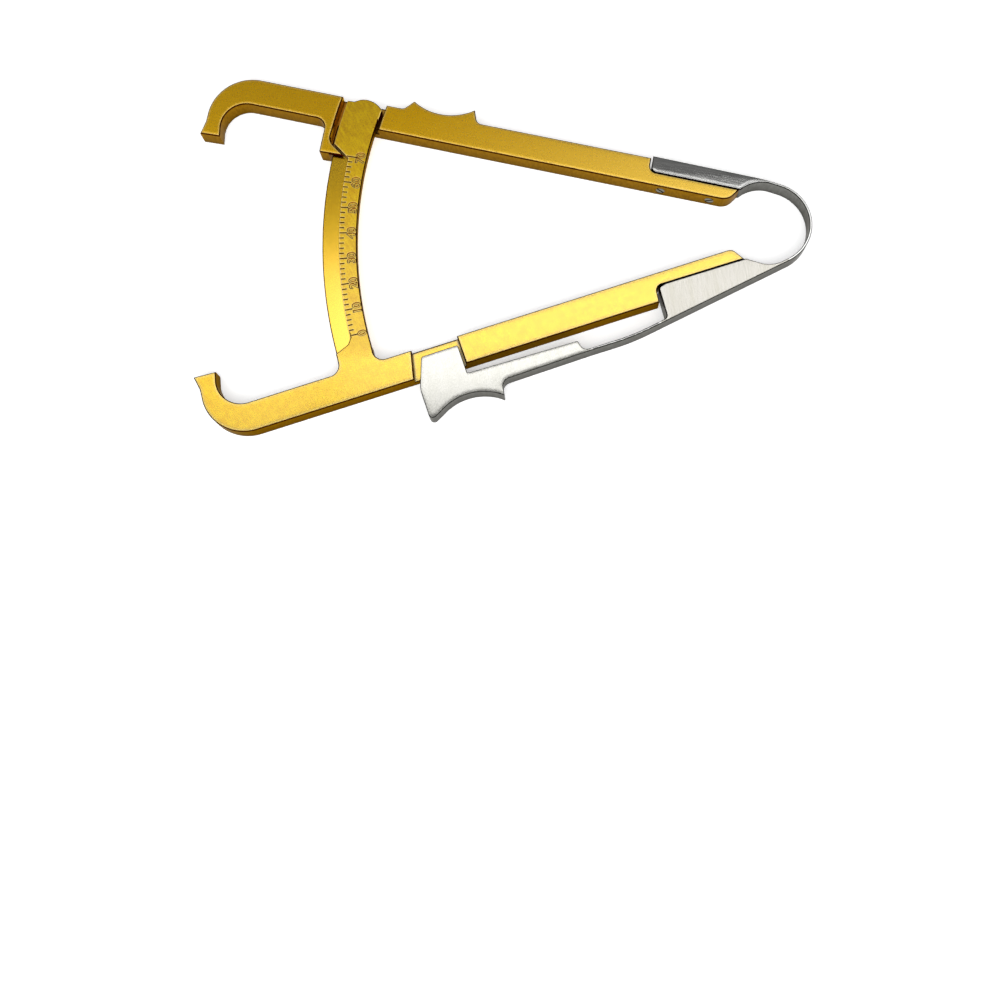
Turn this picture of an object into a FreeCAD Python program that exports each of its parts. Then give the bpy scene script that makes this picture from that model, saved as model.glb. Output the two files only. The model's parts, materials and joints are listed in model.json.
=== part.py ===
"""Skinfold caliper with a U spring hinge, lying on its back with the scale facing up.

Two anodised arms carry the hooked jaws. The lower arm has the curved scale, and the upper arm has the
pointer lip that runs along it. One steel spring joins the arms: a tang screwed to the upper arm, the
U loop, a tang screwed to the lower arm, a thin beam and the pressure lever at its end.

Each arm is drawn closed: the hinge centre is the origin, the jaws point along -X, their faces meet
on the X axis, and the upper arm is on the +Y side. Half of the opening angle then turns each arm out.
Lengths are in millimetres and angles in degrees.
"""

import FreeCAD, Part
import math
import os
from FreeCAD import Vector

# Driving dimensions
FULL_SCALE = 70.0       # largest reading, the jaw opening at rest
TIP_RADIUS = 163.0      # hinge centre to the middle of a jaw face
THICKNESS = 5.5         # plate thickness of the arms and of the spring
HALF_LAP = 2.6          # thickness that is left where one part crosses another
LAP_GAP = 0.3           # clearance between the two layers of a crossing
JAW_GAP = 0.3           # clearance between the jaw faces at the zero reading
LOOP_BAND = 0.7         # thickness of the spring's U loop
BEAM_BAND = 0.7         # thickness of the pressure lever's beam

UPPER, LOWER = 1, -1
OPENING = 2 * math.degrees(math.asin(FULL_SCALE / 2 / TIP_RADIUS))

# Arms
BAR_WIDTH = {UPPER: 7.8, LOWER: 8.15}
BAR_LEAN = {UPPER: 2.6, LOWER: 3.4}     # how far each bar leans towards the X axis
BAR_START = -152.0                      # where the straight bar leaves the jaw's bend
BAR_HEIGHT = 18.85                      # outer edge above the X axis at BAR_START
# A jaw face and the upright of its hook lie between these places on X
JAW_FACE = {UPPER: (-165.1, -159.35), LOWER: (-166.0, -159.8)}
JAW_NECK = {UPPER: (-164.3, -159.85), LOWER: (-165.0, -160.3)}
JAW_BEND = {UPPER: 12.4, LOWER: 12.2}   # outer radius of the hook
JAW_HOLLOW = 7.0                        # inner radius of the hook

# Scale strip on the lower arm, concentric with the hinge
STRIP_INNER = 117.1
STRIP_OUTER = 126.95
STRIP_FOOT = -3.5       # height where the strip rises from the arm
STRIP_TOP = 32.4        # angle where the strip's crown starts
CROWN_FLARE = 0.45      # how far the strip's inner edge runs out at its crown
RECESS_INNER = 122.0    # the pointer's track lies outside this radius
RECESS_FLOOR = 4.1
CHANNEL_INNER = 115.85  # walls of the channel across the upper arm
CHANNEL_OUTER = 128.55
CHANNEL_END = 12.0      # angle beyond the bar, where the channel is open

# Pointer tab and lip on the upper arm
TAB_LEFT = -130.6
TAB_RIGHT = 127.9       # radius of the tab's edge beside the strip
LIP_EDGE = 0.25         # height of the reading edge above the X axis
LIP_TIP = -123.5
LIP_TOP = 3.9
LIP_HOLLOW = 3.5        # radius between the lip and the wall of the channel
LIP_THICKNESS = 1.1
STOP_GAP = 0.5          # between the lip and the track's end at full opening

# Straight seams between the arms and the spring's tangs
UPPER_SEAM = ((-38.85, 9.63), (-13.7, 8.4))
LOWER_SEAM = ((-38.3, -7.5), (-13.1, -6.2))
TANG_LEFT = {UPPER: -38.4, LOWER: -37.7}

# Back and bend of the U loop, at rest: the back arc meets the bend at LOOP_JOIN
BEND_CENTRE = (-4.45, 0.96)
BEND_RADIUS = 12.0
BACK_RADIUS = 60.0
BACK_START = 74.2       # angle of the back arc where the upper tang's straight edge ends
LOOP_START = 70.6       # angle of the back arc where the thin band starts
LOOP_JOIN = 67.0
LOOP_END = -65.4

# Outer edge of the lower tang, the beam and the pressure lever
BEAM_ROOT = (-39.6, -18.02)
BEAM_KNEE = (-47.8, -19.83, 65.0)
BEAM_END = (-59.8, -20.5)

# Slotted countersunk screws that hold the tangs
SCREW_PLACES = {UPPER: (-34.9, -21.2), LOWER: (-33.5, -19.8)}
SLOT_TURNS = (-55.0, 52.0)
SCREW_LENGTH = 7.0
HEAD_RADIUS = 1.22
HEAD_LAND = 0.3
HEAD_HEIGHT = 0.9
SHANK_RADIUS = 0.8
THREAD_RADIUS = 0.75    # tapped holes in the tangs
CLEAR_RADIUS = 0.9      # clearance holes in the arms
SEAT_GAP = 0.04         # between a head and its countersink
SLOT_WIDTH = 0.5
SLOT_DEPTH = 0.55
HEAD_SINK = 0.05        # how far the heads lie below the arm's edge

PAST = 1.0              # how far a cutting shape runs past the face that it opens


def outer_edge(side, x):
    """Point on a bar's outer edge at x."""
    fall = (x - BAR_START) * math.tan(math.radians(BAR_LEAN[side]))
    return (x, side * (BAR_HEIGHT - fall))


def inner_edge(side, x):
    """Point on a bar's inner edge at x."""
    return (x, outer_edge(side, x)[1] - side * BAR_WIDTH[side])


def rounded(point, radius):
    """A corner with a rounding radius."""
    return (point[0], point[1], radius)


def via(point):
    """Mark of an arc that passes through a point between two corners."""
    return ("via", point)


def on_circle(centre, radius, angle):
    """Point on a circle, at an angle counterclockwise from +X."""
    turn = math.radians(angle)
    return (centre[0] + radius * math.cos(turn), centre[1] + radius * math.sin(turn))


def polar(radius, angle):
    """Point at a radius from the hinge, at an angle above the -X axis."""
    return on_circle((0, 0), radius, 180 - angle)


def at_height(radius, y):
    """Point at a radius from the hinge, on the jaws' side, at height y."""
    return (-math.sqrt(radius ** 2 - y ** 2), y)


def turned(point, angle):
    """Point turned counterclockwise about the hinge."""
    start = math.degrees(math.atan2(point[1], point[0]))
    return on_circle((0, 0), math.hypot(*point), start + angle)


def on_line(line, x):
    """Point at x on the line through two points."""
    (x0, y0), (x1, y1) = line
    return (x, y0 + (y1 - y0) * (x - x0) / (x1 - x0))


def corner_arc(before, corner, after):
    """Start, middle and end of the arc that rounds a corner."""
    here = Vector(*corner[:2])
    back = (Vector(*before[:2]) - here).normalize()
    ahead = (Vector(*after[:2]) - here).normalize()
    half = back.getAngle(ahead) / 2
    radius = corner[2]
    reach = radius / math.tan(half)
    middle = (back + ahead).normalize() * (radius / math.sin(half) - radius)
    return here + back * reach, here + middle, here + ahead * reach


def outline(items):
    """Closed wire through corners, with the arcs of rounded corners and of via() marks."""
    corners = [item for item in items if item[0] != "via"]
    bows = {}
    for before, item in zip(items, items[1:]):
        if item[0] == "via":
            bows[before] = item[1]
    arcs = {}
    for before, corner, after in zip(corners[-1:] + corners, corners, corners[1:] + corners[:1]):
        if len(corner) == 3:
            arcs[corner] = corner_arc(before, corner, after)
    edges = []
    for a, b in zip(corners, corners[1:] + corners[:1]):
        start = arcs[a][2] if a in arcs else Vector(*a)
        end = arcs[b][0] if b in arcs else Vector(*b)
        if a in bows:
            edges.append(Part.Arc(start, Vector(*bows[a]), end).toShape())
        else:
            edges.append(Part.LineSegment(start, end).toShape())
        if b in arcs:
            edges.append(Part.Arc(*arcs[b]).toShape())
    return Part.Wire(edges)


def plate(items, low=0.0, high=THICKNESS):
    """Solid with a closed outline between two heights."""
    face = Part.Face(outline(items))
    face.translate(Vector(0, 0, low))
    return face.extrude(Vector(0, 0, high - low))


def shifted(start, end, distance):
    """The run from start to end, moved to its right."""
    run = (Vector(*end[:2]) - Vector(*start[:2])).normalize()
    step = Vector(run.y, -run.x) * distance
    return (start[0] + step.x, start[1] + step.y), (end[0] + step.x, end[1] + step.y)


def crossing(run_a, run_b):
    """Point where the lines of two runs cross."""
    a, b = Vector(*run_a[0]), Vector(*run_b[0])
    u = Vector(*run_a[1]) - a
    v = Vector(*run_b[1]) - b
    point = a + u * ((b - a).cross(v).z / u.cross(v).z)
    return (point.x, point.y)


# Arms

def jaw(side):
    """Corners of the hooked jaw, from the bar's inner edge round to its outer edge."""
    face = side * JAW_GAP / 2
    outside, inside = JAW_NECK[side]
    return [rounded(inner_edge(side, inside), JAW_HOLLOW),
            (inside, side * 3.4),
            (JAW_FACE[side][1], face),
            (JAW_FACE[side][0], face),
            (outside, side * 4.0, 4.0),
            rounded(outer_edge(side, outside), JAW_BEND[side])]


def finger_rest():
    """Corners of the hollow between two ridges on the upper arm's outer edge."""
    return [rounded(outer_edge(UPPER, -109.6), 1.6),
            (-107.1, 19.65),
            via((-98.7, 17.0)),
            (-89.8, 19.75),
            rounded(outer_edge(UPPER, -88.5), 2.0)]


def pointer_tab():
    """Corners of the tab that hangs from the upper bar beside the scale strip."""
    top = at_height(TAB_RIGHT, inner_edge(UPPER, -TAB_RIGHT)[1])
    return [top,
            via(at_height(TAB_RIGHT, top[1] / 2)),
            at_height(TAB_RIGHT, LIP_EDGE),
            (TAB_LEFT, LIP_EDGE, 0.4),
            rounded(inner_edge(UPPER, TAB_LEFT), 3.0)]


def channel():
    """Space across the front of the upper arm for the scale strip."""
    low = math.degrees(math.asin(LIP_TOP / CHANNEL_OUTER))
    middle = (low + CHANNEL_END) / 2
    corners = [polar(CHANNEL_OUTER, low), via(polar(CHANNEL_OUTER, middle)),
               polar(CHANNEL_OUTER, CHANNEL_END), polar(CHANNEL_INNER, CHANNEL_END),
               via(polar(CHANNEL_INNER, middle)), polar(CHANNEL_INNER, low)]
    return plate(corners, HALF_LAP, THICKNESS + PAST)


def lip_slope():
    """Tip and top of the lip's slanted edge."""
    return (LIP_TIP, LIP_EDGE), at_height(CHANNEL_OUTER, LIP_TOP)


def lip():
    """Thin pointer that reaches from the tab over the strip's recessed track."""
    tip, top = lip_slope()
    root = TAB_LEFT + 1
    wall = at_height(CHANNEL_OUTER + 0.1, LIP_TOP + LIP_HOLLOW)
    corners = [(root, LIP_EDGE), tip, rounded(top, LIP_HOLLOW), wall, (root, wall[1])]
    return plate(corners, THICKNESS - LIP_THICKNESS)


def upper_arm():
    notch = [outer_edge(UPPER, UPPER_SEAM[0][0]),
             rounded(UPPER_SEAM[0], 2.05),
             UPPER_SEAM[1],
             rounded(inner_edge(UPPER, -16.1), 4.0)]
    arm = plate(jaw(UPPER) + finger_rest() + notch + pointer_tab())
    arm = arm.cut(channel()).fuse(lip())
    return drilled(arm, UPPER)


def strip_foot():
    """Corners of the full-thickness foot under the scale strip."""
    right = at_height(STRIP_INNER, STRIP_FOOT)
    left = at_height(STRIP_OUTER, STRIP_FOOT)
    return [rounded(inner_edge(LOWER, right[0]), 2.8), right,
            left, rounded(inner_edge(LOWER, left[0]), 3.0)]


def scale_strip():
    """Curved strip that carries the scale, with its rounded crown."""
    middle = STRIP_TOP / 2
    crown = [(-105.4, 67.2), (-103.6, 67.3), via((-100.4, 65.8))]
    corners = [at_height(STRIP_OUTER, STRIP_FOOT), via(polar(STRIP_OUTER, middle)),
               polar(STRIP_OUTER, STRIP_TOP), *crown, polar(STRIP_INNER - CROWN_FLARE, STRIP_TOP),
               via(polar(STRIP_INNER, middle)), at_height(STRIP_INNER, STRIP_FOOT)]
    return plate(corners, HALF_LAP + LAP_GAP)


def pointer_track():
    """Recess along the strip that the lip slides over; its slanted end is the opening stop."""
    tip, top = shifted(*lip_slope(), STOP_GAP)
    tip = on_line((tip, top), tip[0] + math.hypot(*tip) - RECESS_INNER)
    corners = [turned(top, -OPENING),
               turned(tip, -OPENING),
               via(polar(RECESS_INNER, OPENING / 2)),
               at_height(RECESS_INNER, -0.2),
               (-123.1, -1.9),
               (-127.8, -4.1),
               via(polar(CHANNEL_OUTER, OPENING / 2))]
    return plate(corners, RECESS_FLOOR, THICKNESS + PAST)


def neck_recess():
    """Space across the front of the lower arm for the pressure lever's head."""
    corners = [(-106.7, -7.0), (-108.3, -18.0), (-93.1, -18.0), (-93.95, -7.0)]
    return plate(corners, HALF_LAP, THICKNESS + PAST)


def lower_arm():
    notch = [outer_edge(LOWER, LOWER_SEAM[0][0] - 0.3),
             rounded(LOWER_SEAM[0], 1.8),
             LOWER_SEAM[1],
             rounded(inner_edge(LOWER, -15.6), 2.0)]
    arm = plate(jaw(LOWER) + notch + strip_foot()).cut(neck_recess())
    arm = arm.fuse(scale_strip()).cut(pointer_track())
    return drilled(arm, LOWER)


# Spring: tangs, beam and lever drawn closed, and the loop drawn at rest

def on_back(angle, inset=0.0):
    """Point on the loop's back arc, at rest."""
    centre = on_circle(BEND_CENTRE, BEND_RADIUS - BACK_RADIUS, LOOP_JOIN)
    return on_circle(centre, BACK_RADIUS - inset, angle)


def on_bend(angle, inset=0.0):
    """Point on the loop's bend, at rest."""
    return on_circle(BEND_CENTRE, BEND_RADIUS - inset, angle)


def upper_spring_tang():
    left = TANG_LEFT[UPPER]
    back = [on_back(BACK_START), on_back((BACK_START + LOOP_START) / 2),
            on_back(LOOP_START), on_back(LOOP_START, LOOP_BAND)]
    start, middle, end, band = [turned(point, OPENING / 2) for point in back]
    corners = [(left, 14.34), start, via(middle), end, band,
               (-10.6, 11.45, 9.0),
               on_line(UPPER_SEAM, -13.3),
               rounded(on_line(UPPER_SEAM, left), 1.6)]
    return tapped(plate(corners), UPPER)


def spring_loop():
    back = (LOOP_START + LOOP_JOIN) / 2
    bend = (LOOP_JOIN + LOOP_END) / 2
    corners = [on_back(LOOP_START), via(on_back(back)), on_back(LOOP_JOIN),
               via(on_bend(bend)), on_bend(LOOP_END), on_bend(LOOP_END, LOOP_BAND),
               via(on_bend(bend, LOOP_BAND)), on_back(LOOP_JOIN, LOOP_BAND),
               via(on_back(back, LOOP_BAND)), on_back(LOOP_START, LOOP_BAND)]
    return plate(corners)


def beam_inside():
    """Inner edges of the beam's two straight runs."""
    return (shifted(BEAM_ROOT, BEAM_KNEE, BEAM_BAND),
            shifted(BEAM_KNEE, BEAM_END, BEAM_BAND))


def lower_spring_tang():
    root, _ = beam_inside()
    left = TANG_LEFT[LOWER]
    outside, inside = [turned(on_bend(LOOP_END, inset), -OPENING / 2) for inset in (0.0, LOOP_BAND)]
    corners = [outside, BEAM_ROOT, root[0],
               rounded(on_line(root, left), 1.2),
               (left, -8.1, 1.0),
               on_line(LOWER_SEAM, -35.6),
               rounded(on_line(LOWER_SEAM, -12.7), 0.3),
               (-6.6, -10.15, 8.0),
               inside]
    return tapped(plate(corners), LOWER)


def lever_beam():
    root, end = beam_inside()
    inner_knee = rounded(crossing(root, end), BEAM_KNEE[2] - BEAM_BAND)
    return plate([BEAM_ROOT, BEAM_KNEE, BEAM_END, end[1], inner_knee, root[0]])


def pressure_lever():
    """Bar with a thumb rest, whose head crosses the neck of the lower arm."""
    _, beam = beam_inside()
    bar_top = ((-62.7, -16.95), (-93.7, -18.05))
    root = [rounded(bar_top[0], 0.6), rounded(on_line(beam, -61.9), 2.0), beam[1], BEAM_END]
    thumb_rest = [(-85.2, -22.45, 2.4), (-85.5, -26.7), via((-94.4, -23.75)), (-102.7, -26.4)]
    head = [(-106.4, -28.6, 1.2),
            (-107.1, -19.2, 8.0),
            (-104.7, -10.45, 0.9),
            (-94.35, -9.75, 0.5),
            rounded(bar_top[1], 0.4)]
    lap = [(-109.0, -19.0), (-93.0, -17.4), (-93.0, -8.0), (-109.0, -8.0)]
    return plate(root + thumb_rest + head).cut(plate(lap, -PAST, HALF_LAP + LAP_GAP))


# Screws

def screw_axis(side, x):
    """Placement whose Z axis runs from a screw's head into the spring's tang."""
    lean = math.radians(BAR_LEAN[side])
    inward = Vector(math.sin(lean), side * math.cos(lean), 0)
    edge = Vector(*inner_edge(side, x), THICKNESS / 2)
    return FreeCAD.Placement(edge + inward * HEAD_SINK, FreeCAD.Rotation(Vector(0, 0, 1), inward))


def placed(shape, placement):
    shape.Placement = placement
    return shape


def countersunk_head(gap=0.0, above=0.0):
    """Screw head with its face at the origin, or the space for one."""
    radius = HEAD_RADIUS + gap
    land = Part.makeCylinder(radius, HEAD_LAND + above, Vector(0, 0, -above))
    base = Vector(0, 0, HEAD_LAND)
    return land.fuse(Part.makeCone(radius, SHANK_RADIUS + gap, HEAD_HEIGHT - HEAD_LAND, base))


def screw(turn):
    """Slotted screw, with its head's face at the origin and its shank along Z."""
    shank = Part.makeCylinder(SHANK_RADIUS, SCREW_LENGTH - HEAD_LAND, Vector(0, 0, HEAD_LAND))
    slot = Part.makeBox(SLOT_WIDTH, 4 * HEAD_RADIUS, SLOT_DEPTH)
    slot.translate(Vector(-SLOT_WIDTH / 2, -2 * HEAD_RADIUS, 0))
    slot.rotate(Vector(), Vector(0, 0, 1), turn)
    return countersunk_head().fuse(shank).cut(slot).removeSplitter()


def screws(side):
    pairs = zip(SCREW_PLACES[side], SLOT_TURNS)
    return Part.makeCompound([placed(screw(turn), screw_axis(side, x)) for x, turn in pairs])


def drilled(arm, side):
    """Arm with the countersunk clearance holes of its screws."""
    for x in SCREW_PLACES[side]:
        hole = Part.makeCylinder(CLEAR_RADIUS, SCREW_LENGTH).fuse(countersunk_head(SEAT_GAP, PAST))
        arm = arm.cut(placed(hole, screw_axis(side, x)))
    return arm.removeSplitter()


def tapped(tang, side):
    """Tang with the threaded holes of its screws."""
    for x in SCREW_PLACES[side]:
        hole = Part.makeCylinder(THREAD_RADIUS, SCREW_LENGTH)
        tang = tang.cut(placed(hole, screw_axis(side, x)))
    return tang


# Assembly at rest, with the centre of its bottom at the origin

def opened(shape, side):
    """Shape turned out from the closed drawing to the open rest."""
    shape.rotate(Vector(), Vector(0, 0, 1), -side * OPENING / 2)
    return shape


nodes = {
    "upper_arm": opened(upper_arm(), UPPER),
    "upper_arm_screws": opened(screws(UPPER), UPPER),
    "upper_spring_tang": opened(upper_spring_tang(), UPPER),
    "spring_loop": spring_loop(),
    "lower_spring_tang": opened(lower_spring_tang(), LOWER),
    "lower_arm": opened(lower_arm(), LOWER),
    "lower_arm_screws": opened(screws(LOWER), LOWER),
    "lever_beam": opened(lever_beam(), LOWER),
    "pressure_lever": opened(pressure_lever(), LOWER),
}
box = Part.makeCompound(list(nodes.values())).optimalBoundingBox(False, False)
os.makedirs("parts", exist_ok=True)
for name, shape in nodes.items():
    shape.translate(Vector(-box.Center.x, -box.Center.y, 0))
    shape.exportStep(f"parts/{name}.step")
print(f"hinge centre at {-box.Center.x:.3f} {-box.Center.y:.3f}")
print(f"overall size {box.XLength:.2f} x {box.YLength:.2f} x {box.ZLength:.2f}")
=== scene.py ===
# %% [markdown]
# # A skinfold caliper
# The caliper measures a pinched fold of skin. Two gold-coloured aluminium arms end in hooked jaws,
# and one strip of spring steel joins them: a thick tang screwed to each arm, a thin U loop between
# the tangs, and a pressure lever on the lower arm. This lesson takes the plain solids of the CAD
# model and gives them what makes metal look real: broken edges, an engraved scale, and finishes that
# follow how each piece was made. Every length in Blender is in metres.

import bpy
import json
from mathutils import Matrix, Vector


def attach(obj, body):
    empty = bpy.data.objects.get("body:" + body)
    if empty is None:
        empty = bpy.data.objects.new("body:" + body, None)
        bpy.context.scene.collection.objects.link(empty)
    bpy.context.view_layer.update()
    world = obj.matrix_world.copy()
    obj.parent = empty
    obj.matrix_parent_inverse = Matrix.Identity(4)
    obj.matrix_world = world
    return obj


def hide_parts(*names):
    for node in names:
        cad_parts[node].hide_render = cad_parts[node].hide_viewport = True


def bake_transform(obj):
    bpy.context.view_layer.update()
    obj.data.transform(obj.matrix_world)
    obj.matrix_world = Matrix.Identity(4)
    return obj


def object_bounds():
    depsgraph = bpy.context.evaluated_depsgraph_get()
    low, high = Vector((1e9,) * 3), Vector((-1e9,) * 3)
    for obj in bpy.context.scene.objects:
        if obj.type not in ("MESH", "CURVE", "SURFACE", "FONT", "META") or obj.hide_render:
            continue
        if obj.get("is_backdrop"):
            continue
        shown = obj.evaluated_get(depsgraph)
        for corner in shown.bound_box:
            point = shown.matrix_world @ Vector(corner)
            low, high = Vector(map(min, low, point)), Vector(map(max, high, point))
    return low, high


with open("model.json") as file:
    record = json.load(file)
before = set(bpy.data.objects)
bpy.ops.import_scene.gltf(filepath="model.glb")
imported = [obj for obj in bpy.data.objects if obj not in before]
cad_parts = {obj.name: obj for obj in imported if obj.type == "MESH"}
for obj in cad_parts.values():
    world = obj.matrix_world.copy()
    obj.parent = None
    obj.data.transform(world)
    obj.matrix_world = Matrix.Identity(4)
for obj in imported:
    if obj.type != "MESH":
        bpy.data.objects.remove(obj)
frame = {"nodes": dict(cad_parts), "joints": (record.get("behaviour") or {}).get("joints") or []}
cad_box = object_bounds()
print("CAD box, mm:", [[round(1000 * v, 2) for v in corner] for corner in cad_box])

# %% [markdown]
# ## Measures
# The caliper turns about a point inside the U loop, and each arm stands half of the opening angle
# away from the middle line. The scale, the brushing, the seams and the cut in the spring are all
# placed from that point and that angle, so the point is read from the frame's own record, and both
# are kept here.

# %% Hinge and opening
import bpy, bmesh
from math import asin, atan2, cos, degrees, pi, radians, sin
from mathutils import Vector

MM = 0.001
JOINTS = {joint["name"]: joint for joint in frame["joints"]}
HINGE = Vector(JOINTS["jaw_squeeze"]["pos_m"][:2])
FACE = cad_box[1].z                     # height of the face that carries the scale
MID_HEIGHT = 0.00275                    # half of the plates' thickness
TIP_RADIUS = 163.0                      # mm from the hinge to a jaw face
HALF_OPEN = asin(35.0 / TIP_RADIUS)     # the jaws stand 70 mm apart


def on_lower_arm(radius, angle):
    """Place on the lower arm's face, from mm off the hinge and degrees off its jaw line."""
    turn = radians(angle) - HALF_OPEN
    return Vector((HINGE.x - radius * MM * cos(turn), HINGE.y + radius * MM * sin(turn), FACE))


print("hinge, mm:", [round(v / MM, 2) for v in HINGE], "opening, degrees:", round(degrees(2 * HALF_OPEN), 2))

# %% [markdown]
# ## Camera
# A long lens looks down on the caliper from a little below its lower arm, so that the narrow sides
# that face the viewer show. The lens has no shift and no blur.

# %% Place the camera
bpy.ops.object.camera_add(location=(0.008186, -0.132742, 0.3256),
                          rotation=(radians(10.541), radians(2.277), radians(-1.81)))
camera = bpy.context.active_object
camera.name = "camera"
camera.data.lens = 44.496
camera.data.sensor_width = 36.0
bpy.context.scene.camera = camera
print("camera lens, mm:", round(camera.data.lens, 1))

# %% [markdown]
# ## Colours and nodes
# A paint chip or a screen gives a colour as sRGB hex digits, and Blender's shaders add up light in
# linear values, so one function turns the first into the second. A second small function adds one
# node with its settings and its links, which keeps each material short enough to read.

# %% Colour and node helpers
def linear(code):
    """Linear colour of sRGB hex digits."""
    parts = [int(code[i:i + 2], 16) / 255 for i in (1, 3, 5)]
    return [p / 12.92 if p <= 0.04045 else ((p + 0.055) / 1.055) ** 2.4 for p in parts] + [1.0]


def node(tree, kind, inputs=None, **settings):
    """Adds a node. An input is a value, or the output socket that feeds it."""
    added = tree.nodes.new(kind)
    for name, value in settings.items():
        setattr(added, name, value)
    for name, value in (inputs or {}).items():
        if isinstance(value, bpy.types.NodeSocket):
            tree.links.new(value, added.inputs[name])
        else:
            added.inputs[name].default_value = value
    return added


print("mid grey is", [round(v, 3) for v in linear("#808080")[:3]])

# %% [markdown]
# ## Floor and light
# Metal shows what it reflects more than its own colour, so the light is arranged as for a product
# table. A narrow strip of light hangs beyond the caliper, and a dimmer one continues it to the left:
# the lower arm and the lever mirror them, and the upper arm mirrors the dark room past their far edge.
# A broad softbox on the viewer's side lights everything else. The caliper lies on a white sweep,
# which adds a little light of its own to what the camera and the metal see of it, so that it is white
# and still keeps a shadow.

# %% Floor
FLOOR_GAP = 0.00005      # the floor lies this far below the caliper's back
FLOOR_LIFT = 0.45        # the sheet's own light, as a share of white

bpy.ops.mesh.primitive_plane_add(size=6.0, location=(0, 0, -FLOOR_GAP))
floor = bpy.context.active_object
floor.name = "floor"
paper = bpy.data.materials.new("white_paper_sweep")
paper.use_nodes = True
tree = paper.node_tree
tree.nodes.clear()
path = node(tree, "ShaderNodeLightPath")
seen = node(tree, "ShaderNodeMath", {0: path.outputs["Is Camera Ray"], 1: path.outputs["Is Glossy Ray"]})
seen = node(tree, "ShaderNodeMath", {0: seen.outputs[0], 1: path.outputs["Is Transmission Ray"]},
            use_clamp=True)
lift = node(tree, "ShaderNodeMath", {0: seen.outputs[0], 1: FLOOR_LIFT}, operation="MULTIPLY")
sheet = node(tree, "ShaderNodeBsdfDiffuse", {"Color": linear("#F6F6F6")})
glow = node(tree, "ShaderNodeEmission", {"Color": linear("#FFFFFF"), "Strength": lift.outputs[0]})
both = node(tree, "ShaderNodeAddShader", {0: sheet.outputs[0], 1: glow.outputs[0]})
node(tree, "ShaderNodeOutputMaterial", {"Surface": both.outputs[0]})
floor.data.materials.append(paper)
floor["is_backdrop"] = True
print("floor is", floor.dimensions.x, "m wide")

# %% Three softboxes
def softbox(name, place, size, turn, glow):
    """Level rectangle of light that shines down; glow 1 is as bright as a white surface can look."""
    bpy.ops.object.light_add(type="AREA", location=place, rotation=(0, 0, turn))
    lamp = bpy.context.active_object
    lamp.name = name
    lamp.data.shape = "RECTANGLE"
    lamp.data.size, lamp.data.size_y = size
    lamp.data.energy = glow * pi * size[0] * size[1]
    return lamp


softbox("strip_light", (0.204, 0.311, 0.90), (0.81, 0.175), radians(6.2), 1.95)
softbox("dim_strip_light", (-0.437, 0.316, 0.90), (0.50, 0.23), radians(-20), 1.33)
softbox("broad_softbox", (0.0, -0.65, 0.90), (1.9, 0.90), 0.0, 2.0)

# %% Room
room = bpy.data.worlds.new("pale_room")
bpy.context.scene.world = room
room.use_nodes = True
tree = room.node_tree
side = node(tree, "ShaderNodeSeparateXYZ", {0: node(tree, "ShaderNodeTexCoord").outputs["Generated"]})
depth = node(tree, "ShaderNodeMapRange", {"Value": side.outputs["Y"], "From Min": -0.59, "From Max": -0.03},
             interpolation_type="SMOOTHSTEP")
walls = node(tree, "ShaderNodeMix", {0: depth.outputs["Result"], 6: linear("#F3F3F3"),
                                     7: linear("#7E7E7E")}, data_type="RGBA")
tree.links.new(walls.outputs[2], tree.nodes["Background"].inputs["Color"])
bpy.context.scene.view_settings.view_transform = "Standard"
print("room walls: pale behind the viewer, dark beyond the table")

# %% [markdown]
# ## Gold-anodised aluminium
# The arms are aluminium plate, blasted with fine beads, then anodised and dyed gold. To the eye that
# is a satin metal under a thin clear layer, which adds a paler glint where the light is strong. Real
# dimples are about 0.1 mm wide; they are drawn at 0.35 mm so that they show. Under them the marks of
# the last rubbing remain: fine lines along the upper bar, and lines slanting across the lower arm.
# The colour is painted paler from the upper jaw towards the spring, and the lower arm's colour is paler
# and yellower than the upper arm's: painted light, where those parts mirror more of the lamps.
# Tumbling rounds the edges, so each face falls away a little towards its margin. The Bevel node finds
# the margins by turning the surface direction near an edge, and there the colour is made paler and
# less metallic, so that it catches more of the lamps' light: a painted highlight along each edge. The
# scale strip was blasted again after it was stamped, so its margins are narrower and its surface a
# little rougher. The Ambient Occlusion node, which measures how closed in a place is, finds tight
# corners, and the colour is made darker there: painted shade.

# %% Margins and corners
def margin(tree, radius, share):
    """Surface direction turned a share of the way to the nearest edge, and how near that edge is."""
    turned = node(tree, "ShaderNodeBevel", {"Radius": radius}, samples=6).outputs[0]
    flat = node(tree, "ShaderNodeNewGeometry").outputs["Normal"]
    mixed = node(tree, "ShaderNodeMix", {0: share, 4: flat, 5: turned}, data_type="VECTOR")
    same = node(tree, "ShaderNodeVectorMath", {0: flat, 1: turned}, operation="DOT_PRODUCT")
    near = node(tree, "ShaderNodeMapRange", {"Value": same.outputs["Value"], "From Min": 0.995,
                                             "From Max": 0.88})
    return mixed.outputs[1], near.outputs[0]


def soiled(tree, colour, reach, least):
    """A colour made darker in tight corners, painted shade; reach is in mm."""
    corner = node(tree, "ShaderNodeAmbientOcclusion", {"Distance": reach * MM}, samples=8)
    unshaded_share = node(tree, "ShaderNodeMapRange", {"Value": corner.outputs["AO"], "From Min": 0.45,
                                              "From Max": 0.85, "To Min": least})
    corner_shaded = node(tree, "ShaderNodeVectorMath", {0: colour, "Scale": unshaded_share.outputs[0]}, operation="SCALE")
    return corner_shaded.outputs["Vector"]


def metal_of(name, rough=0.3, sheen="#FFFFFF"):
    """New metal material, its tree and its shader; the sheen is its colour at flat angles."""
    made = bpy.data.materials.new(name)
    made.use_nodes = True
    shader = made.node_tree.nodes["Principled BSDF"]
    shader.inputs["Metallic"].default_value = 1.0
    shader.inputs["Roughness"].default_value = rough
    shader.inputs["Specular Tint"].default_value = linear(sheen)
    return made, made.node_tree, shader


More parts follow.
